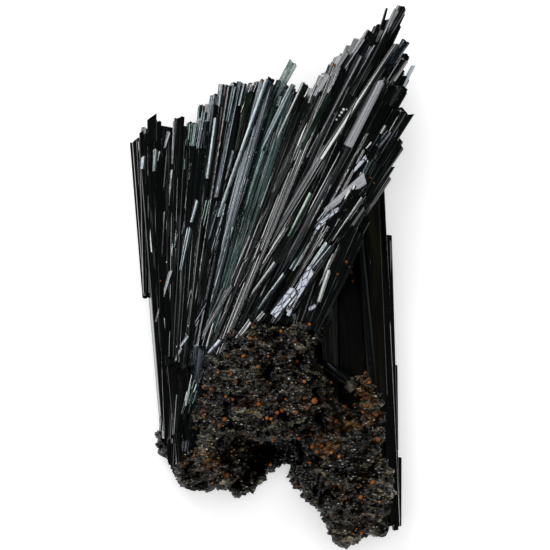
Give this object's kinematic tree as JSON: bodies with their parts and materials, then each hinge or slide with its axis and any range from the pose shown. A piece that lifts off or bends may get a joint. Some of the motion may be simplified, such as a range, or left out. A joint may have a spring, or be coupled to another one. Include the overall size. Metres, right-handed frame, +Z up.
{
  "type": "vivianite crystal specimen",
  "caption": "Fan of long dark bladed crystals with rough broken tips, growing out of porous rust-stained rock, lying on its back.",
  "frame": {"origin": "on the table, under the middle of the specimen's box", "axes": "+X across the specimen, towards the single tall crystal's side; +Y from the rock foot to the crystal tips; +Z up from the table, the side that the specimen is shown from"},
  "size_m": [0.0628, 0.1191, 0.0345],
  "materials": {
    "crystals": "gloss",
    "rock": "matte"
  },
  "bodies": {
    "root": {"crystals": "crystals", "rock": "rock"}
  },
  "joints": []
}
